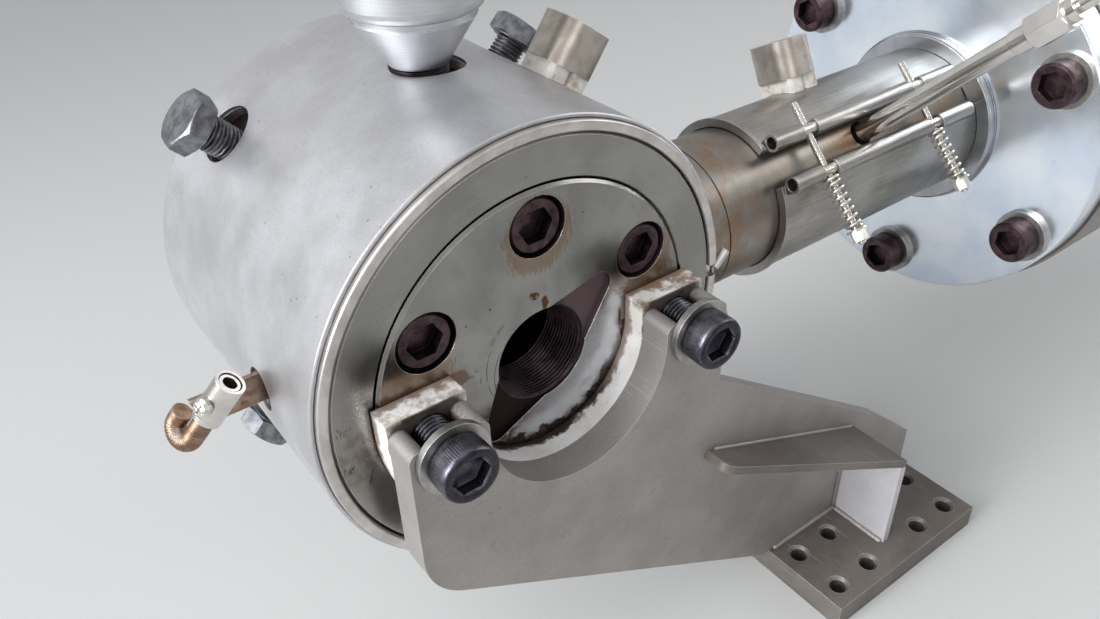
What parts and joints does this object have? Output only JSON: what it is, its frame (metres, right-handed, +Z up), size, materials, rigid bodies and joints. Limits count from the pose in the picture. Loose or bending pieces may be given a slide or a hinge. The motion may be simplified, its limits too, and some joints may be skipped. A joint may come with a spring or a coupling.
{
  "type": "crosshead extrusion die head",
  "caption": "Heated crosshead die head of a plastic extruder with side feed adapter, barrel flange, stripe nozzle, cradle and welded bracket.",
  "frame": {"origin": "centre of the bracket's base plate, on its underside", "axes": "+X towards the barrel flange, +Y from the open face of the head to its back, +Z up"},
  "size_m": [0.5191, 0.2983, 0.393],
  "materials": {
    "bracket_steel": "blasted steel plate, matt brownish grey",
    "cradle_steel": "machined steel with dirty brown white deposits",
    "black_screws": "black oxide with a blue grey sheen",
    "washers": "zinc plated, slightly yellow",
    "ground_steel": "ground and polished steel",
    "flange_steel": "ground steel with brown burnt stains",
    "oxide_screws": "heat darkened purple brown oxide",
    "burnt_steel": "burnt dark brown steel",
    "heater_edge": "bright sheet edge",
    "jacket_sheet": "bead blasted stainless sheet, matt light grey",
    "turned_steel": "turned, with fine turning lines",
    "rusty_strap": "heat tinted and rusty",
    "nickel": "nickel plated, satin",
    "copper_sheath": "coil wound sheath, copper brown",
    "ceramic": "white ceramic with brown stains",
    "cap_sheet": "nickel plated sheet with a brown tint",
    "adapter_steel": "polished stainless with a golden heat tint",
    "flange_face": "bright fine ground face",
    "band_sheet": "brushed stainless sheet",
    "spring_wire": "yellowish silver plating",
    "barrel_steel": "fine turned steel, light grey"
  },
  "bodies": {
    "root": {"bracket_base": "bracket_steel", "bracket_web": "bracket_steel", "bracket_shelf": "bracket_steel", "bracket_gusset": "bracket_steel", "cradle_ring": "cradle_steel", "cradle_screws": "black_screws", "cradle_washers": "washers", "die_ring": "ground_steel", "head_body": "ground_steel", "retaining_flange": "flange_steel", "flange_screws": "oxide_screws", "core_tip": "burnt_steel", "heater_ring": "heater_edge", "jacket_sheet": "jacket_sheet", "jacket_rim": "heater_edge", "adjusting_bolts": "black_screws", "back_plate": "ground_steel", "back_screws": "oxide_screws", "wire_guide": "ground_steel", "stripe_neck": "burnt_steel", "stripe_nozzle": "turned_steel", "stripe_flange": "turned_steel", "probe_strap": "rusty_strap", "probe_socket": "nickel", "probe_ferrule": "nickel", "probe_screw": "nickel", "probe_lead": "copper_sheath", "head_terminal_base": "ceramic", "head_terminal_cap": "cap_sheet", "adapter_tube": "adapter_steel", "adapter_flange": "flange_face", "adapter_heater": "band_sheet", "clamp_pins": "washers", "clamp_screws": "nickel", "clamp_springs": "spring_wire", "clamp_nuts": "spring_wire", "adapter_terminal_base": "ceramic", "adapter_terminal_cap": "cap_sheet", "adapter_screws": "oxide_screws", "adapter_washers": "washers", "barrel_seal": "burnt_steel", "barrel_flange": "barrel_steel", "pressure_stem": "nickel", "pressure_nut": "nickel", "pressure_rod": "nickel"}
  },
  "joints": []
}
